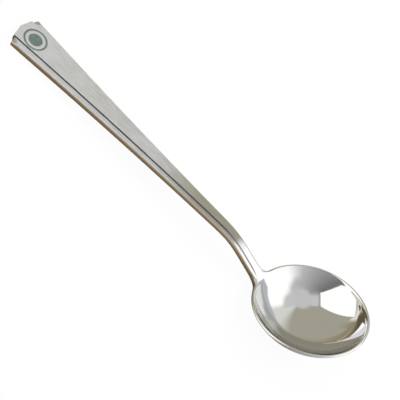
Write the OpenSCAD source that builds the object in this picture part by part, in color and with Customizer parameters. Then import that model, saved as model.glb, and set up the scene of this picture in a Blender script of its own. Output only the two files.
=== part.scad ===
// Cupping spoon: a round polished bowl on a flat handle with a raised panel.
// Millimetres. The spoon lies as on a table: bowl underside and handle tip touch z = 0.

/* [Handle] */
// Straight length from the tip to the upper bend of the neck
handle_run = 103.2; // [90:0.1:130]
// Width across both borders at the tip end
end_width = 17.2; // [14:0.1:20]
// Inward bow of each long side
side_bow = 0.7; // [0.3:0.05:1.1]
// Thickness at the border
border_thick = 2.24; // [1.9:0.02:2.8]
// Rounding of the lower edges
under_round = 0.8; // [0.3:0.05:0.9]
// Rounding of the border's upper edges
upper_round = 0.45; // [0.2:0.05:0.8]

/* [Panel] */
// Height of the raised panel above the border
panel_rise = 0.36; // [0.2:0.02:0.6]
// Width of the panel at the tip end
panel_end_width = 11.7; // [9:0.1:12.5]
// Width of the panel along the neck
panel_neck_width = 2.9; // [2.2:0.1:3.4]
// Inward bow of the panel's long sides
panel_bow = 0.7; // [0.3:0.05:1]
// Height of the gable at the tip
gable_length = 1.2; // [0.6:0.1:2.5]
// Step from the gable back to the border's end
border_setback = 0.6; // [0.2:0.1:1.5]
// Slant of the border's end
border_slant = 0.8; // [0:0.1:1.5]

/* [Neck] */
// Width of the neck
neck_width = 5.5; // [4.8:0.1:6.5]
// Radius of the upper bend at the underside
upper_bend = 29; // [20:0.5:36]
// Angle of the neck below the handle's line
neck_drop = 21.1; // [18:0.1:26]
// Straight length between the two bends
neck_straight = 7.9; // [6:0.1:12]
// Radius of the lower bend at the top
lower_bend = 24; // [22:0.5:32]
// Angle by which the lower bend turns the neck back up
lower_turn = 12; // [10:0.5:15]

/* [Bowl] */
// Width across the lip
bowl_width = 44.6; // [38:0.1:48]
// Depth from the lip to the lowest point outside
bowl_depth = 12; // [10:0.1:14]
// Wall thickness
bowl_wall = 1.1; // [0.8:0.05:1.2]
// Width of the rounded lip
lip_width = 1.3; // [1.25:0.05:1.5]
// Angle of the rim above the handle's line
rim_pitch = 16.5; // [12:0.1:20]
// Radius of the shoulder between neck and rim
shoulder = 3.6; // [1.5:0.1:4.5]
// Height of the lip's crest above the neck at the heel
lip_stand = 0.1; // [0.06:0.02:0.25]

/* [Mark] */
// Width of the round mark
mark_width = 9.7; // [7:0.1:10]
// Distance of its centre from the tip
mark_from_tip = 7.5; // [6.5:0.1:14]
// Depth of its recess
mark_depth = 0.16; // [0.1:0.02:0.3]
// Gap around the mark in its recess
mark_gap = 0.03; // [0.01:0.01:0.06]

/* [Hidden] */

// Facets of bends and bowl, steps in a small edge round, and steps along a long side
round_fn = 192;
edge_steps = 4;
side_steps = 8;
// Overshoot of cutting bodies
over = 2;

handle_thick = border_thick + panel_rise;
end_half = end_width / 2;
neck_half = neck_width / 2;
panel_end_half = panel_end_width / 2;
panel_neck_half = panel_neck_width / 2;

// Ends of the border and panel sides, in plan
border_x = gable_length + border_setback;
corner_x = border_x + border_slant;
side_from = [corner_x, end_half];
side_to = [handle_run, neck_half];
panel_from = [gable_length, panel_end_half];
panel_to = [handle_run, panel_neck_half];

// Neck, followed along its underside in the handle's own frame as [x, z]
heel_drop = neck_drop - lower_turn;
turn = heel_drop + rim_pitch;
drop_dir = [cos(neck_drop), -sin(neck_drop)];
drop_up = [sin(neck_drop), cos(neck_drop)];
neck_from = [handle_run, 0] + upper_bend * [sin(neck_drop), cos(neck_drop) - 1];
neck_to = neck_from + drop_dir * neck_straight;
bend_centre = neck_to + drop_up * (border_thick + lower_bend);
heel_up = [sin(heel_drop), cos(heel_drop)];
heel = bend_centre - lower_bend * heel_up;
// The panel ends a little below the neck's top, so it sinks away before the lower bend
panel_sink = panel_rise / 8;

// Bowl: a spherical shell with a round lip, about the rim's own axis
lip = lip_width / 2;
lip_r = bowl_width / 2 - lip;
mid_depth = bowl_depth - lip - bowl_wall / 2;
mid_r = (lip_r * lip_r + mid_depth * mid_depth) / (2 * mid_depth);
outer_r = mid_r + bowl_wall / 2;
inner_r = mid_r - bowl_wall / 2;
ball_z = outer_r - bowl_depth;
lip_angle = asin(lip_r / mid_r);
rim_dir = [cos(rim_pitch), sin(rim_pitch)];
rim_up = [-sin(rim_pitch), cos(rim_pitch)];
lip_core = heel + heel_up * (lip_stand - lip);
rim_centre = lip_core + rim_dir * lip_r + rim_up * lip;

// Shoulder rounds touch the neck's side and the outside of the lip
shoulder_y = neck_half + shoulder;
shoulder_x = -sqrt(pow(bowl_width / 2 + shoulder, 2) - pow(shoulder_y, 2));
shoulder_touch = [shoulder_x, shoulder_y] * bowl_width / (bowl_width + 2 * shoulder);
// The lower bend goes on past the lip, so that the neck ends inside the bowl's wall
heel_reach = lip_r / 5;
sweep_angle = lower_turn + heel_reach / lower_bend * 180 / PI;

// Resting pose: the table touches the tip's lower edge and the bowl's underside
ball = rim_centre + rim_up * ball_z;
rest_tilt = asin(outer_r / norm(ball)) - atan2(ball[1], ball[0]);
lip_front = rim_centre + rim_dir * lip_r - rim_up * lip;
low_x = -handle_thick * sin(rest_tilt);
high_x = lip_front[0] * cos(rest_tilt) - lip_front[1] * sin(rest_tilt) + lip;

// Plan point at a share of the way along a long side that bows inward
function bowed(from, to, bow, share) = from + (to - from) * share - [0, 4 * bow * share * (1 - share)];
shares = [for (i = [0 : side_steps]) i / side_steps];

// Moves the handle's own frame to the table, with the origin under the middle of the spoon
module on_table() {
    translate([-(low_x + high_x) / 2, 0, 0])
        rotate([0, -rest_tilt, 0])
            children();
}

// Moves the neck's frame to the handle's: origin on the underside below the upper bend, x down the neck
module on_handle() {
    translate([handle_run, 0, -upper_bend])
        rotate([0, neck_drop, 0])
            translate([0, 0, upper_bend])
                children();
}

// A frame on the lower bend's underside below the lip, x towards the bowl
module on_heel() {
    translate([neck_straight, 0, lower_bend + border_thick])
        rotate([0, -lower_turn, 0])
            translate([0, 0, -lower_bend - border_thick])
                children();
}

// The rim's frame: origin at its centre, z along its axis
module on_rim() {
    on_heel()
        translate([0, 0, border_thick + lip_stand - lip])
            rotate([0, -turn, 0])
                translate([lip_r, 0, lip])
                    children();
}

// Points of a round about a centre, from one angle to another
function round_points(centre, radius, from, to) = [
    for (i = [0 : edge_steps])
        let (a = from + (to - from) * i / edge_steps)
            centre + radius * [cos(a), sin(a)]
];

// Lower and upper rounded edges of one side of a border, height along x and width along y
function lower_edge(half) = round_points([under_round, half - under_round], under_round, 180, 90);
function upper_edge(half) =
    round_points([border_thick - upper_round, half - upper_round], upper_round, 90, 0);
function mirrored(points) = [for (i = [len(points) - 1 : -1 : 0]) [points[i][0], -points[i][1]]];

// Border section with rounded edges
function border_outline(half) =
    let (side = concat(lower_edge(half), upper_edge(half)))
        concat(side, mirrored(side));

module neck_section() {
    side = concat(
        lower_edge(neck_half), upper_edge(neck_half),
        [[border_thick, panel_neck_half], [handle_thick, panel_neck_half]]
    );
    polygon(concat(side, mirrored(side)));
}

// Border with rounded edges, lofted from its square end to the neck, with its end corners cut aslant
module border_plate() {
    // The first section stands at the end, before the corner that the slant leaves
    at = concat([(border_x - corner_x) / (handle_run - corner_x)], [for (i = [1 : side_steps]) shares[i]]);
    plan = [for (share = at) bowed(side_from, side_to, side_bow, share)];
    count = len(border_outline(end_half));
    points = [for (end = plan) for (edge = border_outline(end[1])) [end[0], edge[1], edge[0]]];
    walls = [
        for (i = [0 : side_steps - 1])
            for (j = [0 : count - 1])
                let (k = (j + 1) % count)
                    [i * count + j, (i + 1) * count + j, (i + 1) * count + k, i * count + k]
    ];
    tip_cap = [for (j = [0 : count - 1]) j];
    neck_cap = [for (j = [count - 1 : -1 : 0]) side_steps * count + j];
    slant = side_from - [border_x, panel_end_half];
    difference() {
        polyhedron(points, concat([tip_cap, neck_cap], walls));
        for (side = [0, 1])
            mirror([0, side, 0])
                translate([0, 0, -over])
                    linear_extrude(border_thick + 2 * over)
                        polygon([
                            [border_x, panel_end_half] - slant, side_from + slant,
                            [border_x - over, end_half + slant[1]]
                        ]);
    }
}

module panel_plate() {
    side = concat([[0, 0]], [for (share = shares) bowed(panel_from, panel_to, panel_bow, share)]);
    linear_extrude(handle_thick)
        polygon(concat(side, mirrored(side)));
}

module upper_neck() {
    translate([handle_run, 0, -upper_bend])
        rotate([0, -90, -90])
            rotate_extrude(angle = neck_drop, $fn = round_fn)
                translate([upper_bend, 0])
                    neck_section();
}

// The straight part below the upper bend; the handle ends where it begins
module neck_length() {
    rotate([0, -90, 180])
        linear_extrude(neck_straight)
            polygon(border_outline(neck_half));
}

// The end of the raised panel, sinking into the straight part
module sinking_panel() {
    rotate([90, 0, 0])
        linear_extrude(panel_neck_width, center = true)
            polygon([
                [0, border_thick / 2], [neck_straight, border_thick / 2],
                [neck_straight, border_thick - panel_sink], [0, handle_thick]
            ]);
}

// Sweeps a section round the lower bend and into the bowl's wall
module round_lower_bend() {
    radius = lower_bend + border_thick;
    translate([neck_straight, 0, radius])
        rotate([0, 90, -90])
            rotate_extrude(angle = sweep_angle, $fn = round_fn)
                translate([radius, 0])
                    mirror([1, 0])
                        children();
}

// Plan of the widening neck, with a round on each side from the neck to the rim
module shoulder_plan() {
    turn_to = atan2(-shoulder_y, -shoulder_x);
    side = concat(
        round_points([shoulder_x, shoulder_y], shoulder, -90, turn_to),
        [[heel_reach - lip_r, shoulder_touch[1]]]
    );
    polygon(concat(side, mirrored(side)));
}

module web_section() {
    translate([0, -shoulder_y])
        square([border_thick, 2 * shoulder_y]);
}

// Webs that widen the neck into the rim, as thick as the neck and bent with it
module shoulders() {
    intersection() {
        round_lower_bend()
            web_section();
        on_rim()
            translate([0, 0, -3 * border_thick])
                linear_extrude(6 * border_thick)
                    shoulder_plan();
    }
}

// The half plane below the lip, as seen from the centre of the sphere
module under_lip() {
    far = 2 * outer_r;
    polygon([[0, ball_z], [0, ball_z - far], [far * sin(lip_angle), ball_z - far * cos(lip_angle)]]);
}

module bowl_section() {
    intersection() {
        translate([0, ball_z])
            difference() {
                circle(r = outer_r, $fn = round_fn);
                circle(r = inner_r, $fn = round_fn);
            }
        under_lip();
    }
    translate([lip_r, -lip])
        circle(r = lip, $fn = round_fn);
}

// The bowl's inside, and the room above it within the crest of the lip
module hollow_section() {
    intersection() {
        translate([0, ball_z])
            circle(r = inner_r, $fn = round_fn);
        under_lip();
    }
    translate([0, -lip])
        square([lip_r, bowl_depth]);
}

module heel_body() {
    difference() {
        union() {
            neck_length();
            sinking_panel();
            round_lower_bend()
                polygon(border_outline(neck_half));
            shoulders();
        }
        on_rim()
            rotate_extrude($fn = round_fn)
                hollow_section();
    }
}

module bowl() {
    color([0.78, 0.78, 0.77])
        on_table()
            on_handle()
                union() {
                    heel_body();
                    on_rim()
                        rotate_extrude($fn = round_fn)
                            bowl_section();
                }
}

module handle() {
    color([0.70, 0.70, 0.69])
        on_table() {
            difference() {
                union() {
                    border_plate();
                    panel_plate();
                }
                translate([mark_from_tip, 0, handle_thick - mark_depth])
                    cylinder(r = mark_width / 2, h = over, $fn = round_fn);
            }
            upper_neck();
        }
}

module mark() {
    color([0.34, 0.41, 0.40])
        on_table()
            translate([mark_from_tip, 0, handle_thick - mark_depth])
                cylinder(r = mark_width / 2 - mark_gap, h = mark_depth, $fn = round_fn);
}

bowl();
handle();
mark();
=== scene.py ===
import bpy
import bmesh
from math import acos, asin, atan2, cos, hypot, pi, radians, sin
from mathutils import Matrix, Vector


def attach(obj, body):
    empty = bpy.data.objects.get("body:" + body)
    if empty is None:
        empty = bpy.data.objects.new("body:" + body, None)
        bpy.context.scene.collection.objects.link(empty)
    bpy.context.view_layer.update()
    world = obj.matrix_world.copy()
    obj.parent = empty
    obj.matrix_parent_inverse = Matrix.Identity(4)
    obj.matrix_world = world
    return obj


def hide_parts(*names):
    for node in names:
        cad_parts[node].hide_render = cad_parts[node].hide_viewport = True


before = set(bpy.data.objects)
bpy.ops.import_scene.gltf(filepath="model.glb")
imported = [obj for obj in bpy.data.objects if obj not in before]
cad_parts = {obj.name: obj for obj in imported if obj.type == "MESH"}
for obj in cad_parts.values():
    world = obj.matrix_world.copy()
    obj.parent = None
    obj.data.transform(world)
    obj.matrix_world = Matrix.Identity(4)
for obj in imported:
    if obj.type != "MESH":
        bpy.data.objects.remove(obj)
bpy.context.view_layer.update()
mm = 0.001
print("stage: frame loaded")

# the spoon's side view, in mm and degrees, as the solids have it
spoon = {
    "run": 103.2,        # tip to the upper bend
    "thick": 2.24,       # at the border
    "panelRise": 0.36,
    "upperBend": 29.0,   # radius at the underside
    "drop": 21.1,        # neck below the handle's line
    "straight": 7.9,     # between the bends
    "lowerBend": 24.0,   # radius at the top
    "turn": 12.0,        # by which the lower bend comes back up
    "pitch": 16.5,       # rim above the handle's line
    "lipStand": 0.1,     # lip above the neck at the heel
}
bowl = {
    "width": 44.6,
    "depth": 12.0,
    "wall": 1.1,
    "lip": 1.3,
    "lipTrim": 0.08,     # keeps the lip within the solid's box
    "lipZone": 0.4,      # points this close under the rim's plane are the lip
    "segments": 56,
    "rings": 32,         # of the whole ball it is cut from
    "ringAngles": [0, 6, 12, 18, 24, 30, 36, 42, 47.5, 51.9, 54.4],   # from the bottom to the rim, closer at the lip
    "heelSink": [0.4, 0.35, 0.12],   # rim let down where it opens into the neck, from the middle out
}
drop = radians(spoon["drop"])
pitch = radians(spoon["pitch"])
underBend = spoon["lowerBend"] + spoon["thick"]
bendEnd = spoon["run"] + spoon["upperBend"] * drop
straightEnd = bendEnd + spoon["straight"]
heelEnd = straightEnd + underBend * radians(spoon["turn"])


def sidePoint(along, height):
    # x and z in the handle's own frame, along its underside and up from it
    x, z, angle = min(along, spoon["run"]), 0.0, 0.0
    if along > spoon["run"]:
        angle = -min((along - spoon["run"]) / spoon["upperBend"], drop)
        x -= spoon["upperBend"] * sin(angle)
        z += spoon["upperBend"] * (cos(angle) - 1)
    if along > bendEnd:
        step = min(along, straightEnd) - bendEnd
        x += step * cos(drop)
        z -= step * sin(drop)
    if along > straightEnd:
        angle = (along - straightEnd) / underBend - drop
        x += underBend * (sin(drop) + sin(angle))
        z += underBend * (cos(drop) - cos(angle))
    return x - height * sin(angle), z + height * cos(angle)


# bowl: a ball shell about the rim's axis
lipRadius = (bowl["width"] - bowl["lip"]) / 2
midDepth = bowl["depth"] - (bowl["lip"] + bowl["wall"]) / 2
midRadius = (lipRadius ** 2 + midDepth ** 2) / (2 * midDepth)
outerRadius = midRadius + bowl["wall"] / 2
innerRadius = midRadius - bowl["wall"] / 2
ballHeight = outerRadius - bowl["depth"]


def rimSide(x, z):
    lip = bowl["lip"] / 2
    core = sidePoint(heelEnd, spoon["thick"] + spoon["lipStand"] - lip)
    reach, lift = x + lipRadius, z + lip
    return (core[0] + reach * cos(pitch) - lift * sin(pitch),
            core[1] + reach * sin(pitch) + lift * cos(pitch))


# the spoon lies on the tip's lower edge and on the bowl
ball = rimSide(0, ballHeight)
tilt = asin(outerRadius / hypot(*ball)) - atan2(ball[1], ball[0])
lipFront = rimSide(lipRadius, -bowl["lip"] / 2)
lowX = -(spoon["thick"] + spoon["panelRise"]) * sin(tilt)
highX = lipFront[0] * cos(tilt) - lipFront[1] * sin(tilt) + bowl["lip"] / 2


def onTable(point, across):
    x, z = point
    return Vector((x * cos(tilt) - z * sin(tilt) - (lowX + highX) / 2, across, x * sin(tilt) + z * cos(tilt))) * mm


def spoonPoint(along, across, height):
    return onTable(sidePoint(along, height), across)


def rimPoint(x, y, z):
    return onTable(rimSide(x, z), y)


def selectOnly(piece):
    if bpy.context.mode != "OBJECT":
        bpy.ops.object.mode_set(mode="OBJECT")
    bpy.ops.object.select_all(action="DESELECT")
    piece.select_set(True)
    bpy.context.view_layer.objects.active = piece


def applyModifier(piece, kind, **settings):
    selectOnly(piece)
    modifier = piece.modifiers.new(kind.title(), kind)
    for key, value in settings.items():
        setattr(modifier, key, value)
    bpy.ops.object.modifier_apply(modifier=modifier.name)


# camera fitted to the mark, the handle's edges and the rim
view = {"location": (-11.5881, -556.5116, 577.4356), "turn": (32.9867, -31.6257, 37.0596), "lens": 198.0}
bpy.ops.object.camera_add(location=Vector(view["location"]) * mm, rotation=[radians(a) for a in view["turn"]])
camera = bpy.context.object
camera.name = "photoCamera"
camera.data.lens = view["lens"]
camera.data.sensor_width = 36.0
camera.data.clip_start = 0.01
camera.data.dof.use_dof = False
bpy.context.scene.camera = camera

# bowl: the lower part of a ball, its rim pulled out at the heel into the neck and the handle
bpy.ops.object.select_all(action="DESELECT")
bpy.ops.mesh.primitive_uv_sphere_add(segments=bowl["segments"], ring_count=bowl["rings"], radius=1)
blank = bpy.context.object
blank.name = "spoonBlank"
bpy.ops.object.mode_set(mode="EDIT")
mesh = bmesh.from_edit_mesh(blank.data)
ringStep = pi / bowl["rings"]
rimRing = len(bowl["ringAngles"]) - 1
bpy.ops.mesh.select_all(action="DESELECT")
for vert in mesh.verts:
    vert.select = acos(max(-1.0, -vert.co.z)) > ringStep * (rimRing + 0.5)
bmesh.update_edit_mesh(blank.data)
bpy.ops.mesh.delete(type="VERT")
bpy.ops.mesh.select_all(action="DESELECT")
mesh = bmesh.from_edit_mesh(blank.data)
segment = 2 * pi / bowl["segments"]
for vert in mesh.verts:
    ring = round(acos(max(-1.0, min(1.0, -vert.co.z))) / ringStep)
    polar = radians(bowl["ringAngles"][ring])
    around = atan2(vert.co.y, vert.co.x)
    fromHeel = round((pi - abs(around)) / segment)
    opens = ring == rimRing and fromHeel < len(bowl["heelSink"])
    sink = bowl["heelSink"][fromHeel] if opens else 0.0
    flat = innerRadius * sin(polar)
    vert.co = rimPoint(flat * cos(around), flat * sin(around), ballHeight - innerRadius * cos(polar) - sink)
    vert.select = opens
mesh.select_flush_mode()
bmesh.update_edit_mesh(blank.data)
print("stage: bowl cap", len(blank.data.polygons))

handle = {
    "endWidth": 17.15,
    "neckWidth": 5.45,
    "sideBow": 0.75,
    "taperEnd": 109.0,   # the sides run parallel from here to the heel
    "panelEnd": 11.9,
    "panelNeck": 2.8,
    "panelBow": 0.75,
    "gable": 1.2,        # height of the gable at the tip
    "setback": 0.6,      # from the gable's foot to the border's end
    "slant": 0.8,        # of the border's end
    "panelSlope": 0.38,  # run of the panel's side
    "edgeRound": 0.42,
    "bendRows": 4,       # rows of points along the upper bend
    "rows": 14,          # rows along the flat part
}
borderX = handle["gable"] + handle["setback"]
cornerX = borderX + handle["slant"]


def bowed(start, end, bow, along, firstX):
    share = max(0.0, min(1.0, (along - firstX) / (handle["taperEnd"] - firstX)))
    return (start + (end - start) * share - 4 * bow * share * (1 - share)) / 2


def halfWidths(along):
    return (bowed(handle["endWidth"], handle["neckWidth"], 2 * handle["sideBow"], along, cornerX),
            bowed(handle["panelEnd"], handle["panelNeck"], 2 * handle["panelBow"], along, handle["gable"]))


def pullRow(points):
    # extrudes the selected edge row and sets its points in order across
    bpy.ops.mesh.extrude_region_move()
    sheet = bmesh.from_edit_mesh(blank.data)
    row = sorted((v for v in sheet.verts if v.select), key=lambda v: v.co.y)
    for vert, point in zip(row, points):
        vert.co = point
    bmesh.update_edit_mesh(blank.data)


heel = {
    "rows": [(1.55, 3.45, 1.75), (3.2, 2.85, 1.5)],   # distance back from the heel's end, half width of neck and of panel
    "fullFrom": 0.8,                                  # full thickness from here back
    "shares": [(3, 0.8), (5.2, 0.45)],                # half width, and share of the way from the lip's to full thickness
    "free": 9,                                        # the outside is not pressed onto the ball this close to the heel
}
top = spoon["thick"]
for back, half, inner in heel["rows"]:
    pullRow([spoonPoint(heelEnd - back, y, top) for y in (-half, -inner, 0, inner, half)])
rows = [straightEnd, bendEnd + spoon["straight"] / 2, bendEnd]
rows += [bendEnd - (bendEnd - spoon["run"]) * (i + 1) / handle["bendRows"] for i in range(handle["bendRows"])]
rows += [spoon["run"] - (spoon["run"] - cornerX) * i / handle["rows"] for i in range(1, handle["rows"])]
for along in rows:
    half, inner = halfWidths(along)
    pullRow([spoonPoint(along, y, top) for y in (-half, -inner, 0, inner, half)])
endHalf, endInner = handle["endWidth"] / 2, handle["panelEnd"] / 2
endRow = ((cornerX, -endHalf), (borderX, -endInner), (borderX, 0), (borderX, endInner), (cornerX, endHalf))
pullRow([spoonPoint(x, y, top) for x, y in endRow])
sheet = bmesh.from_edit_mesh(blank.data)
for vert in sheet.verts:
    if vert.select and abs(vert.co.y) > (endInner + 0.5) * mm:
        vert.select = False
sheet.select_flush_mode()
bmesh.update_edit_mesh(blank.data)
gableRow = ((handle["gable"], -endInner), (0, 0), (handle["gable"], endInner))
pullRow([spoonPoint(x, y, top) for x, y in gableRow])
bpy.ops.mesh.select_all(action="SELECT")
bpy.ops.mesh.normals_make_consistent(inside=False)
sheet = bmesh.from_edit_mesh(blank.data)
sheet.normal_update()
lowest = min(sheet.faces, key=lambda f: f.calc_center_median().z)
if lowest.normal.z < 0:
    bpy.ops.mesh.flip_normals()
bpy.ops.object.mode_set(mode="OBJECT")
print("stage: sheet", len(blank.data.polygons))

# wall: thin in the bowl, a little more at the lip, full along the neck and handle
wallGroup = blank.vertex_groups.new(name="wall")
heelX = spoonPoint(heelEnd - heel["fullFrom"], 0, top).x
rimCentre, ballPoint = rimPoint(0, 0, 0), rimPoint(0, 0, ballHeight)
rimAxis = (ballPoint - rimCentre).normalized()
for vert in blank.data.vertices:
    wall = bowl["wall"]
    beside = abs(vert.co.y) / mm
    if vert.co.x < heelX:
        wall = spoon["thick"]
    elif (vert.co - rimCentre).dot(rimAxis) > -bowl["lipZone"] * mm:
        wall = bowl["lip"] - bowl["lipTrim"]
        if vert.co.x < rimCentre.x:
            wall += (spoon["thick"] - wall) * next((share for reach, share in heel["shares"] if beside < reach), 0.0)
    wallGroup.add([vert.index], wall / spoon["thick"], "REPLACE")
applyModifier(blank, "SOLIDIFY", thickness=spoon["thick"] * mm, offset=-1, use_even_offset=True, vertex_group="wall")
print("stage: wall", len(blank.data.polygons))

# what picks points, edges and faces
limits = {
    "sharp": 50, "crisp": 15, "smooth": 32,                     # angles in degrees
    "level": 0.75, "upright": 0.8, "flat": 0.9, "side": 0.3,    # parts of a direction of length one
    "onMiddle": 1e-7,                                           # in m
    "panelRoom": 0.2, "tipRoom": 0.5,                           # in mm
    "ballRoom": 0.002,                                          # in radians
}

# panel: the middle faces on top, lifted, and sunk away towards the heel
rowAlongs = [0.0, borderX] + rows + [heelEnd - row[0] for row in heel["rows"]]
rowPlaces = [(spoonPoint(along, 0, top), along) for along in rowAlongs]
fadeEnd = heelEnd - heel["rows"][0][0]
bpy.ops.object.mode_set(mode="EDIT")
bpy.ops.mesh.select_all(action="DESELECT")
bpy.ops.mesh.select_mode(type="FACE")
mesh = bmesh.from_edit_mesh(blank.data)
mesh.faces.layers.float.new("grooveShade")    # the panel's sides, for the painted shade line in the groove beside the panel
mesh.faces.layers.float.new("brushed")   # the handle's upper faces
mesh.verts.layers.int.new("raised")     # points of the lifted panel
lastX = spoonPoint(fadeEnd, 0, top).x + limits["panelRoom"] * mm
for face in mesh.faces:
    onMiddle = any(abs(v.co.y) < limits["onMiddle"] for v in face.verts)
    face.select = onMiddle and face.normal.z > limits["side"] and max(v.co.x for v in face.verts) < lastX
mesh.select_flush(True)
bmesh.update_edit_mesh(blank.data)
bpy.ops.mesh.extrude_region_move()
mesh = bmesh.from_edit_mesh(blank.data)
raised = mesh.verts.layers.int["raised"]
for vert in mesh.verts:
    if vert.select:
        along = min(rowPlaces, key=lambda place: abs(place[0].x - vert.co.x))[1]
        fade = max(0.0, min(1.0, (fadeEnd - along) / (fadeEnd - straightEnd)))
        upward = spoonPoint(along, 0, top + 1) - spoonPoint(along, 0, top)
        vert.co += upward * spoon["panelRise"] * fade
        if abs(vert.co.y) > limits["onMiddle"]:
            vert.co.y -= handle["panelSlope"] * mm * fade * (1 if vert.co.y > 0 else -1)
        vert[raised] = 1
bmesh.update_edit_mesh(blank.data)
bpy.ops.mesh.select_all(action="SELECT")
bpy.ops.mesh.remove_doubles(threshold=1e-6)

# rounded lip and edges all the way round, above and below
bpy.ops.mesh.select_mode(type="EDGE")
bpy.ops.mesh.select_all(action="DESELECT")
mesh = bmesh.from_edit_mesh(blank.data)
mesh.normal_update()
raised = mesh.verts.layers.int["raised"]
for edge in mesh.edges:
    level = abs((edge.verts[1].co - edge.verts[0].co).normalized().z) < limits["level"]
    lifted = any(v[raised] for v in edge.verts)
    edge.select = level and not lifted and edge.is_convex and edge.calc_face_angle(0) > radians(limits["sharp"])
bmesh.update_edit_mesh(blank.data)
bpy.ops.mesh.bevel(offset=handle["edgeRound"] * mm, segments=2, profile=0.5, affect="EDGES", clamp_overlap=True)

# the panel's step and the tip's corners stay crisp
bpy.ops.mesh.select_all(action="DESELECT")
mesh = bmesh.from_edit_mesh(blank.data)
mesh.normal_update()
raised = mesh.verts.layers.int["raised"]
grooveShade, brushed = mesh.faces.layers.float["grooveShade"], mesh.faces.layers.float["brushed"]
tipX = spoonPoint(cornerX + limits["tipRoom"], 0, top).x
weld = spoonPoint(bendEnd, 0, 0)
for face in mesh.faces:
    lifted = sum(v[raised] for v in face.verts)
    face[brushed] = 1.0 if face.normal.z > limits["flat"] and face.calc_center_median().x < weld.x else 0.0
    # the panel's side faces carry the groove's painted shade
    face[grooveShade] = 1.0 if 0 < lifted < len(face.verts) and abs(face.normal.y) > limits["side"] else 0.0
for edge in mesh.edges:
    bend = edge.calc_face_angle(0)
    upright = abs((edge.verts[1].co - edge.verts[0].co).normalized().z) > limits["upright"]
    lifted = any(v[raised] for v in edge.verts)
    atTip = max(v.co.x for v in edge.verts) < tipX
    step = edge.verts[0].co.x < heelX and (lifted or not edge.is_convex)
    edge.select = (step or (upright and atTip)) and bend > radians(limits["crisp"])
bmesh.update_edit_mesh(blank.data)
bpy.ops.transform.edge_crease(value=1)
bpy.ops.object.mode_set(mode="OBJECT")
print("stage: cage", len(blank.data.polygons))
applyModifier(blank, "SUBSURF", levels=2, render_levels=2)

# the bowl's two faces are pressed onto their balls, the outer one away from the heel
for vert in blank.data.vertices:
    ray = vert.co - ballPoint
    reach = ray.length / mm
    polar = ray.angle(-rimAxis)
    fromHeel = (vert.co - spoonPoint(heelEnd, 0, top)).length / mm
    inner = reach < midRadius
    if polar < radians(bowl["ringAngles"][-2]) + limits["ballRoom"] and (inner or fromHeel > heel["free"]):
        vert.co = ballPoint + ray * ((innerRadius if inner else outerRadius) / reach)
blank.data.update()

# parted at the weld below the upper bend, each end closed
weldAxis = (spoonPoint(bendEnd + 1, 0, 0) - weld).normalized()
selectOnly(blank)
bpy.ops.object.mode_set(mode="EDIT")
bpy.ops.mesh.select_mode(type="FACE")
bpy.ops.mesh.select_all(action="DESELECT")
mesh = bmesh.from_edit_mesh(blank.data)
for face in mesh.faces:
    face.select = (face.calc_center_median() - weld).dot(weldAxis) < 0
bmesh.update_edit_mesh(blank.data)
bpy.ops.mesh.separate(type="SELECTED")
bpy.ops.object.mode_set(mode="OBJECT")
handleBar = next(o for o in bpy.context.selected_objects if o is not blank)
handleBar.name = "handleBar"
bowlShell = blank
bowlShell.name = "bowlShell"
for piece in (bowlShell, handleBar):
    selectOnly(piece)
    bpy.ops.object.mode_set(mode="EDIT")
    bpy.ops.mesh.select_mode(type="EDGE")
    bpy.ops.mesh.select_all(action="DESELECT")
    bpy.ops.mesh.select_non_manifold(extend=False)
    bpy.ops.mesh.edge_face_add()
    bpy.ops.object.mode_set(mode="OBJECT")
    bpy.ops.object.shade_smooth_by_angle(angle=radians(limits["smooth"]))
print("stage: bowl", len(bowlShell.data.polygons), "handle", len(handleBar.data.polygons))

# mark: a thin disc let into the panel, an ink ring and an ink middle with bare steel between
mark = {
    "width": 9.7,      # of the recess
    "segments": 96,
    "fromTip": 7.5,
    "depth": 0.16,
    "gap": 0.03,       # play round the disc
    "below": 0.02,     # disc under the panel's top
    "ring": 0.75,
    "bare": 1.15,
    "step": 0.04,      # width of an etched step
    "etch": 0.03,
}
panelTop = spoon["thick"] + spoon["panelRise"]
discTurn = (0, -tilt, 0)
bpy.ops.object.select_all(action="DESELECT")
bpy.ops.mesh.primitive_cylinder_add(vertices=mark["segments"], radius=mark["width"] / 2 * mm, depth=2 * mark["depth"] * mm,
                                    location=spoonPoint(mark["fromTip"], 0, panelTop), rotation=discTurn)
recess = bpy.context.object
bpy.ops.object.transform_apply(location=True, rotation=True, scale=True)
applyModifier(handleBar, "BOOLEAN", object=recess, operation="DIFFERENCE", solver="EXACT")
bpy.data.objects.remove(recess)
discHeight = mark["depth"] - mark["below"]
bpy.ops.object.select_all(action="DESELECT")
bpy.ops.mesh.primitive_cylinder_add(vertices=mark["segments"], radius=(mark["width"] / 2 - mark["gap"]) * mm,
                                    depth=discHeight * mm,
                                    location=spoonPoint(mark["fromTip"], 0, panelTop - mark["below"] - discHeight / 2),
                                    rotation=discTurn)
markDisc = bpy.context.object
markDisc.name = "markDisc"
bpy.ops.object.mode_set(mode="EDIT")
bpy.ops.mesh.select_mode(type="FACE")
bpy.ops.mesh.select_all(action="DESELECT")
mesh = bmesh.from_edit_mesh(markDisc.data)
max(mesh.faces, key=lambda f: f.calc_center_median().z * (len(f.verts) > 4)).select = True
bmesh.update_edit_mesh(markDisc.data)
bpy.ops.mesh.inset(thickness=mark["ring"] * mm)
bpy.ops.mesh.inset(thickness=mark["step"] * mm, depth=mark["etch"] / 2 * mm)
bpy.ops.mesh.inset(thickness=mark["bare"] * mm)
bpy.ops.mesh.inset(thickness=mark["step"] * mm, depth=-mark["etch"] / 2 * mm)
bpy.ops.object.mode_set(mode="OBJECT")
bpy.ops.object.transform_apply(location=True, rotation=True, scale=True)
bpy.ops.object.shade_smooth_by_angle(angle=radians(30))
print("stage: mark", len(markDisc.data.polygons))


def linear(hexColour):
    parts = [int(hexColour[i:i + 2], 16) / 255 for i in (1, 3, 5)]
    return [c / 12.92 if c <= 0.04045 else ((c + 0.055) / 1.055) ** 2.4 for c in parts] + [1.0]


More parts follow.
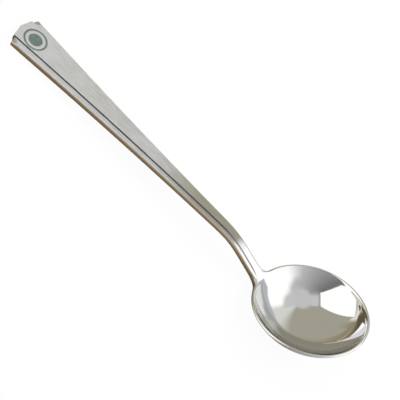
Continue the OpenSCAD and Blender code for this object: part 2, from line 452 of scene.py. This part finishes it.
def addNode(tree, kind, inputs=None, stops=None, **settings):
    # inputs: socket name or number to a value or to another node's output; stops: a ramp's places and colours
    node = tree.nodes.new(kind)
    for key, value in settings.items():
        setattr(node, key, value)
    for key, value in (inputs or {}).items():
        if isinstance(value, bpy.types.NodeSocket):
            tree.links.new(value, node.inputs[key])
        else:
            node.inputs[key].default_value = value
    if stops:
        elements = node.color_ramp.elements
        elements.remove(elements[1])
        elements[0].position, elements[0].color = stops[0]
        for spot, colour in stops[1:]:
            elements.new(spot).color = colour
    return node


def newMaterial(name):
    material = bpy.data.materials.new(name)
    material.use_nodes = True
    material.node_tree.nodes.clear()
    return material, material.node_tree


# stainless steel: soft grey and finely lined where the handle's top is ground, a clear mirror elsewhere, and a line of
# painted shade in the groove beside the panel
steel = {
    "satinTone": "#f4f5fb",
    "polishedTone": "#d4d4d3",
    "streakTone": "#e8e8e6",   # darker lines of the grinding
    # painted shade: the tone that the groove beside the panel is darkened to
    "grooveShadeTone": "#6f757c",
    "satin": (0.48, 0.72),     # roughness
    "polished": (0.035, 0.065),
    "polishing": (-18, 14),    # from satin to mirror along X, in mm
    "grooveShadeFade": (20, 30, 0.4),     # the painted shade in the groove fades along the neck, in mm, to this share
    "lines": (14, 0.35),       # length and width in mm, wider than real ones so that they show
    "grain": (0.3, 0.7),       # the part of the noise that is used
}


def steelMaterial(name):
    material, tree = newMaterial(name)
    place = addNode(tree, "ShaderNodeTexCoord")
    axes = addNode(tree, "ShaderNodeSeparateXYZ", {0: place.outputs["Object"]})
    start, end = steel["polishing"]
    along = addNode(tree, "ShaderNodeMapRange", {0: axes.outputs[0], 1: start * mm, 2: end * mm, 3: 1.0, 4: 0.0},
                    interpolation_type="SMOOTHSTEP")
    onTop = addNode(tree, "ShaderNodeAttribute", attribute_name="brushed")
    ground = addNode(tree, "ShaderNodeMath", {0: along.outputs[0], 1: onTop.outputs["Fac"]}, operation="MULTIPLY")
    length, width = steel["lines"]
    lines = addNode(tree, "ShaderNodeMapping",
                    {0: place.outputs["Object"], 3: (1 / (length * mm), 1 / (width * mm), 1 / (width * mm))})
    grain = addNode(tree, "ShaderNodeTexNoise", {0: lines.outputs[0], "Scale": 1.0, "Detail": 3.0})
    low, high = steel["grain"]
    satin, polished = [addNode(tree, "ShaderNodeMapRange", {0: grain.outputs[0], 1: low, 2: high, 3: least, 4: most})
                       for least, most in (steel["satin"], steel["polished"])]
    rough = addNode(tree, "ShaderNodeMix", {0: ground.outputs[0], 2: polished.outputs[0], 3: satin.outputs[0]})
    bare = addNode(tree, "ShaderNodeMix",
                   {0: ground.outputs[0], 6: linear(steel["polishedTone"]), 7: linear(steel["satinTone"])}, data_type="RGBA")
    streaks = addNode(tree, "ShaderNodeValToRGB", {0: grain.outputs[0]},
                      [(low, linear(steel["streakTone"])), (high, linear("#ffffff"))])
    lined = addNode(tree, "ShaderNodeMix", {0: onTop.outputs["Fac"], 6: bare.outputs[2], 7: streaks.outputs[0]},
                    data_type="RGBA", blend_type="MULTIPLY")
    # painted shade in the groove: the panel's side faces are darkened, less so along the neck
    grooveShadeFaces = addNode(tree, "ShaderNodeAttribute", attribute_name="grooveShade")
    start, end, left = steel["grooveShadeFade"]
    grooveShadeFading = addNode(tree, "ShaderNodeMapRange", {0: axes.outputs[0], 1: start * mm, 2: end * mm, 3: 1.0, 4: left})
    paintedGrooveShade = addNode(tree, "ShaderNodeMath", {0: grooveShadeFaces.outputs["Fac"], 1: grooveShadeFading.outputs[0]}, operation="MULTIPLY")
    tint = addNode(tree, "ShaderNodeMix", {0: paintedGrooveShade.outputs[0], 6: lined.outputs[2], 7: linear(steel["grooveShadeTone"])},
                   data_type="RGBA")
    shader = addNode(tree, "ShaderNodeBsdfPrincipled",
                     {"Base Color": tint.outputs[2], "Metallic": 1.0, "Roughness": rough.outputs[0]})
    addNode(tree, "ShaderNodeOutputMaterial", {0: shader.outputs[0]})
    return material


mirrorSteel = steelMaterial("mirrorPolishedSteel")
satinSteel = steelMaterial("satinSteel")

# mark: dull dark ink in the etched parts, by distance from the middle, and bare steel between them
fill = {
    "inks": ("#4d605e", "#70857f"),
    "blotch": 1.4,     # size of the ink's blotches in mm
    "bareTone": "#ececef",
    "inkRough": 0.5,
    "bareRough": 0.55,
}
markInk, tree = newMaterial("etchedDarkFill")
place = addNode(tree, "ShaderNodeTexCoord")
centre = spoonPoint(mark["fromTip"], 0, panelTop)
offset = addNode(tree, "ShaderNodeVectorMath", {0: place.outputs["Object"], 1: centre}, operation="DISTANCE")
outer = mark["width"] / 2 - mark["gap"] - mark["ring"]
inner = outer - mark["bare"] - 2 * mark["step"]
isBare = addNode(tree, "ShaderNodeMath",
                 {0: offset.outputs["Value"], 1: (outer + inner) / 2 * mm, 2: (outer - inner) / 2 * mm},
                 operation="COMPARE")
blotch = addNode(tree, "ShaderNodeTexNoise",
                 {0: place.outputs["Object"], "Scale": 1 / (fill["blotch"] * mm), "Detail": 3.0})
ink = addNode(tree, "ShaderNodeMix", {0: blotch.outputs[0], 6: linear(fill["inks"][0]), 7: linear(fill["inks"][1])},
              data_type="RGBA")
colour = addNode(tree, "ShaderNodeMix", {0: isBare.outputs[0], 6: ink.outputs[2], 7: linear(fill["bareTone"])},
                 data_type="RGBA")
rough = addNode(tree, "ShaderNodeMapRange", {0: isBare.outputs[0], 3: fill["inkRough"], 4: fill["bareRough"]})
shader = addNode(tree, "ShaderNodeBsdfPrincipled",
                 {"Base Color": colour.outputs[2], "Metallic": isBare.outputs[0], "Roughness": rough.outputs[0]})
addNode(tree, "ShaderNodeOutputMaterial", {0: shader.outputs[0]})

for piece, material in ((bowlShell, mirrorSteel), (handleBar, satinSteel), (markDisc, markInk)):
    piece.data.materials.clear()
    piece.data.materials.append(material)

# studio: white sweep, white surroundings, one soft lamp
studio = {
    "world": 0.9,
    "floorSize": 6,      # in m, as are the lamp's size and place
    "floorTone": "#f4f4f2",
    "floorGlow": 0.95,
    "lampPower": 5.0,
    "lampSize": 0.8,
    "lampAt": (0.63, 0.44, 0.92),
}
scene = bpy.context.scene
scene.view_settings.view_transform = "Standard"


def seenDirect(tree):
    # one where the camera, a mirror or glass looks, else zero
    rays = addNode(tree, "ShaderNodeLightPath")
    seen = addNode(tree, "ShaderNodeMath", {0: rays.outputs["Is Camera Ray"], 1: rays.outputs["Is Glossy Ray"]},
                   operation="MAXIMUM")
    return addNode(tree, "ShaderNodeMath", {0: seen.outputs[0], 1: rays.outputs["Is Transmission Ray"]},
                   operation="MAXIMUM")


world = bpy.data.worlds.new("studioWorld")
scene.world = world
world.use_nodes = True
tree = world.node_tree
tree.nodes.clear()
seen = seenDirect(tree)
strength = addNode(tree, "ShaderNodeMapRange", {0: seen.outputs[0], 3: studio["world"], 4: 1.0})
sky = addNode(tree, "ShaderNodeBackground", {0: (1, 1, 1, 1), 1: strength.outputs[0]})
addNode(tree, "ShaderNodeOutputWorld", {0: sky.outputs[0]})

bpy.ops.object.select_all(action="DESELECT")
bpy.ops.mesh.primitive_plane_add(size=studio["floorSize"])
floor = bpy.context.object
floor.name = "studioFloor"
# paper sweep: pure white to the eye and to the steel, with a faint shadow
paper, tree = newMaterial("whitePaperSweep")
seen = seenDirect(tree)
share = addNode(tree, "ShaderNodeMath", {0: seen.outputs[0], 1: studio["floorGlow"]}, operation="MULTIPLY")
matt = addNode(tree, "ShaderNodeBsdfDiffuse", {0: linear(studio["floorTone"])})
glow = addNode(tree, "ShaderNodeEmission", {0: (1, 1, 1, 1), 1: 1.0})
mixed = addNode(tree, "ShaderNodeMixShader", {0: share.outputs[0], 1: matt.outputs[0], 2: glow.outputs[0]})
addNode(tree, "ShaderNodeOutputMaterial", {0: mixed.outputs[0]})
floor.data.materials.append(paper)


def hideFromLens(card):
    # a card that only polished metal sees
    card.visible_camera = False
    card.visible_diffuse = False
    card.visible_shadow = False
    card.visible_transmission = False


# light tent round the spoon: a drape that goes from dark to white, a pale and a taupe wall, a grey ceiling
tent = {
    "radius": 2.0,       # in m
    "glow": 1.53,
    "segments": 96,
    "rings": 48,
    "tones": {"dark": "#6c6b6c", "grey": "#b4b3b6", "white": "#ffffff", "pale": "#cfd0ca", "taupe": "#9e9b8d",
              "beige": "#e0dbcf", "cool": "#acb2ba", "brown": "#8a7e67", "ceiling": "#c0c1c0", "shade": "#939294",
              "zenith": "#bcbdbd"},
    # azimuth from +X in degrees, and a tone
    "walls": [(-122, "taupe"), (-117, "dark"), (-42, "grey"), (-4, "white"), (66, "white"), (73, "pale"), (86, "pale"),
              (100, "taupe")],
    "low": [(-150, "beige"), (-130, "cool"), (76, "cool"), (110, "brown"), (171, "brown"), (178, "beige")],
    "ceiling": [(-128, "ceiling"), (-102, "shade"), (20, "ceiling")],
    "zenith": (71, 79),
    # azimuth, where the ceiling starts, how softly, where the low tone starts, how softly
    "edges": [(-180, 73, 5, 8, 5), (-166, 62, 5, 7, 6), (-122, 62, 5, 6, 6), (-115, 54, 20, 6, 6), (-80, 60, 14, 4, 6),
              (-38, 54, 13, 4, 6), (-22, 52, 14, 4, 6), (22, 61, 13, 4, 6), (38, 60, 12, 4, 6), (46, 57, 11, 31, 5),
              (74, 48, 10, 31, 5), (84, 61, 15, 26, 8), (97, 70, 9, 24, 26), (170, 75, 6, 24, 26), (177, 75, 6, 12, 4)],
}


def turnShare(angle):
    return (angle + 180) / 360


bpy.ops.object.select_all(action="DESELECT")
bpy.ops.mesh.primitive_uv_sphere_add(segments=tent["segments"], ring_count=tent["rings"], radius=tent["radius"])
tentDome = bpy.context.object
tentDome.name = "lightTent"
cloth, tree = newMaterial("tentCloth")
place = addNode(tree, "ShaderNodeTexCoord")
axes = addNode(tree, "ShaderNodeSeparateXYZ", {0: place.outputs["Object"]})
azimuth = addNode(tree, "ShaderNodeMath", {0: axes.outputs[1], 1: axes.outputs[0]}, operation="ARCTAN2")
share = addNode(tree, "ShaderNodeMapRange", {0: azimuth.outputs[0], 1: -pi, 2: pi})
walls, low, ceiling = [addNode(tree, "ShaderNodeValToRGB", {0: share.outputs[0]},
                               [(turnShare(a), linear(tent["tones"][tone])) for a, tone in tent[band]])
                       for band in ("walls", "low", "ceiling")]
# the edges ramp carries heights in its colours, as shares of 90 degrees
edges = addNode(tree, "ShaderNodeValToRGB", {0: share.outputs[0]},
                [(turnShare(a), [height / 90 for height in heights]) for a, *heights in tent["edges"]])
heights = addNode(tree, "ShaderNodeSeparateColor", {0: edges.outputs[0]})
rise = addNode(tree, "ShaderNodeMath", {0: axes.outputs[2], 1: tent["radius"]}, operation="DIVIDE")
slope = addNode(tree, "ShaderNodeMath", {0: rise.outputs[0]}, operation="ARCSINE")
height = addNode(tree, "ShaderNodeMath", {0: slope.outputs[0], 1: pi / 2}, operation="DIVIDE")
ceilingEnd = addNode(tree, "ShaderNodeMath", {0: heights.outputs[0], 1: heights.outputs[1]})
overhead = addNode(tree, "ShaderNodeMapRange", {0: height.outputs[0], 1: heights.outputs[0], 2: ceilingEnd.outputs[0]},
                   interpolation_type="SMOOTHSTEP")
lowEnd = addNode(tree, "ShaderNodeMath", {0: heights.outputs[2], 1: edges.outputs[1]}, operation="SUBTRACT")
below = addNode(tree, "ShaderNodeMapRange",
                {0: height.outputs[0], 1: lowEnd.outputs[0], 2: heights.outputs[2], 3: 1.0, 4: 0.0},
                interpolation_type="SMOOTHSTEP")
tones = addNode(tree, "ShaderNodeMix", {0: below.outputs[0], 6: walls.outputs[0], 7: low.outputs[0]}, data_type="RGBA")
tones = addNode(tree, "ShaderNodeMix", {0: overhead.outputs[0], 6: tones.outputs[2], 7: ceiling.outputs[0]},
                data_type="RGBA")
zenithStart, zenithEnd = tent["zenith"]
zenith = addNode(tree, "ShaderNodeMapRange", {0: height.outputs[0], 1: zenithStart / 90, 2: zenithEnd / 90},
                 interpolation_type="SMOOTHSTEP")
tones = addNode(tree, "ShaderNodeMix", {0: zenith.outputs[0], 6: tones.outputs[2], 7: linear(tent["tones"]["zenith"])},
                data_type="RGBA")
glow = addNode(tree, "ShaderNodeEmission", {0: tones.outputs[2], 1: tent["glow"]})
addNode(tree, "ShaderNodeOutputMaterial", {0: glow.outputs[0]})
tentDome.data.materials.append(cloth)
hideFromLens(tentDome)


def addCard(name, corners, material):
    # a flat card through the given corners
    bpy.ops.object.select_all(action="DESELECT")
    bpy.ops.mesh.primitive_plane_add(size=1)
    card = bpy.context.object
    card.name = name
    for vert, corner in zip(card.data.vertices, corners):
        vert.co = corner
    card.data.materials.append(material)
    hideFromLens(card)


def towards(azimuth, height, reach):
    flat = reach * cos(radians(height))
    return Vector((flat * cos(radians(azimuth)), flat * sin(radians(azimuth)), reach * sin(radians(height))))


def glowingMaterial(name, hexColour):
    # lit cloth, as bright as the tent
    material, tree = newMaterial(name)
    glow = addNode(tree, "ShaderNodeEmission", {0: linear(hexColour), 1: tent["glow"]})
    out = addNode(tree, "ShaderNodeOutputMaterial", {0: glow.outputs[0]})
    return material, tree, glow, out


# cloth cards: a bright softbox and a grey-brown cloth close behind the neck; a dark card beyond the handle's tip is
# painted shadow
cards = {
    "softbox": [(-179, 6), (-121, 6), (-163, 61), (-117.5, 60)],      # corners by azimuth and height
    "softboxReach": 1.6,      # in m
    "dim": [(-176, -6), (-164, -5), (-172, 0.5), (-163.5, 2.5)],
    "dimReach": 0.5,
    "taupe": [(-45, 46, 25), (60, 46, 25), (-45, 46, 100), (60, 46, 100)],   # corners in mm
    "thinning": (40, 58),     # the cloth thins out along X towards the bowl, in mm
}
brightCloth = glowingMaterial("brightCloth", "#ffffff")[0]
addCard("softbox", [towards(a, height, cards["softboxReach"]) for a, height in cards["softbox"]], brightCloth)
# painted shadow: a dark card for a shadow on the table beyond the handle's tip, seen only in the steel
paintedShadowPatch = glowingMaterial("paintedShadowPatch", "#4c483e")[0]
addCard("shadowPatchCard", [towards(a, height, cards["dimReach"]) + rimCentre for a, height in cards["dim"]], paintedShadowPatch)
taupeCloth, tree, glow, out = glowingMaterial("taupeCloth", tent["tones"]["taupe"])
place = addNode(tree, "ShaderNodeTexCoord")
axes = addNode(tree, "ShaderNodeSeparateXYZ", {0: place.outputs["Object"]})
start, end = cards["thinning"]
thin = addNode(tree, "ShaderNodeMapRange", {0: axes.outputs[0], 1: start * mm, 2: end * mm},
               interpolation_type="SMOOTHSTEP")
clear = addNode(tree, "ShaderNodeBsdfTransparent")
mixed = addNode(tree, "ShaderNodeMixShader", {0: thin.outputs[0], 1: glow.outputs[0], 2: clear.outputs[0]})
tree.links.new(mixed.outputs[0], out.inputs[0])
addCard("taupeCard", [Vector(p) * mm for p in cards["taupe"]], taupeCloth)

# table that the steel mirrors from below: brown wood with painted light and shade, pale where lit and darkest in the
# handle's painted shadow beside it, a pale board under the bowl and a sheet of white paper, its glow painted light
table = {
    "half": 2.0,          # half its size in m
    "lift": 0.05,         # above the floor, in mm
    "end": 48,            # the wood ends under the bowl's heel, in mm, and the board goes on
    "board": "#bdbab3",
    # across the table in mm, and a tone: the wood's brown with painted light and shade
    "woodLightAndShade": [(-32, "#ece4d4"), (-9, "#8c7550"), (20, "#665f4d"), (48, "#665f4d"), (90, "#988b70"), (260, "#988b70"),
             (400, "#ece4d4")],
    "paper": [(-7, 28), (48, 28), (-7, 70), (48, 70)],   # corners in mm
}
# the wood's brown, with painted light and shade across it: pale where a softbox lights the table, dark in the handle's
# shadow
woodLightAndShade, tree = newMaterial("woodPaintedLightAndShade")
place = addNode(tree, "ShaderNodeTexCoord")
axes = addNode(tree, "ShaderNodeSeparateXYZ", {0: place.outputs["Object"]})
first, last = table["woodLightAndShade"][0][0], table["woodLightAndShade"][-1][0]
share = addNode(tree, "ShaderNodeMapRange", {0: axes.outputs[1], 1: first * mm, 2: last * mm})
tones = addNode(tree, "ShaderNodeValToRGB", {0: share.outputs[0]},
                [((y - first) / (last - first), linear(colour)) for y, colour in table["woodLightAndShade"]])
matt = addNode(tree, "ShaderNodeBsdfDiffuse", {0: tones.outputs[0]})
addNode(tree, "ShaderNodeOutputMaterial", {0: matt.outputs[0]})
half, end, lift = table["half"], table["end"] * mm, table["lift"] * mm
addCard("woodTable", [(-half, -half, lift), (end, -half, lift), (-half, half, lift), (end, half, lift)], woodLightAndShade)
board, tree = newMaterial("paleBoard")
matt = addNode(tree, "ShaderNodeBsdfDiffuse", {0: linear(table["board"])})
addNode(tree, "ShaderNodeOutputMaterial", {0: matt.outputs[0]})
addCard("paleBoard", [(end, -half, lift), (half, -half, lift), (end, half, lift), (half, half, lift)], board)
# painted light: the paper sheet glows as bright as a strongly lit sheet
addCard("paperSheet", [(x * mm, y * mm, 2 * lift) for x, y in table["paper"]], brightCloth)

bpy.ops.object.light_add(type="AREA", location=studio["lampAt"])
lamp = bpy.context.object
lamp.name = "softLamp"
lamp.data.energy = studio["lampPower"]
lamp.data.size = studio["lampSize"]
lamp.visible_glossy = False
lamp.rotation_euler = (-Vector(studio["lampAt"])).to_track_quat("-Z", "Y").to_euler()
print("stage: studio")

for piece, node, slotName in ((bowlShell, "bowl", "polished_steel"), (handleBar, "handle", "satin_steel"),
                              (markDisc, "mark", "dark_mark")):
    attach(piece, "root")
    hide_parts(node)
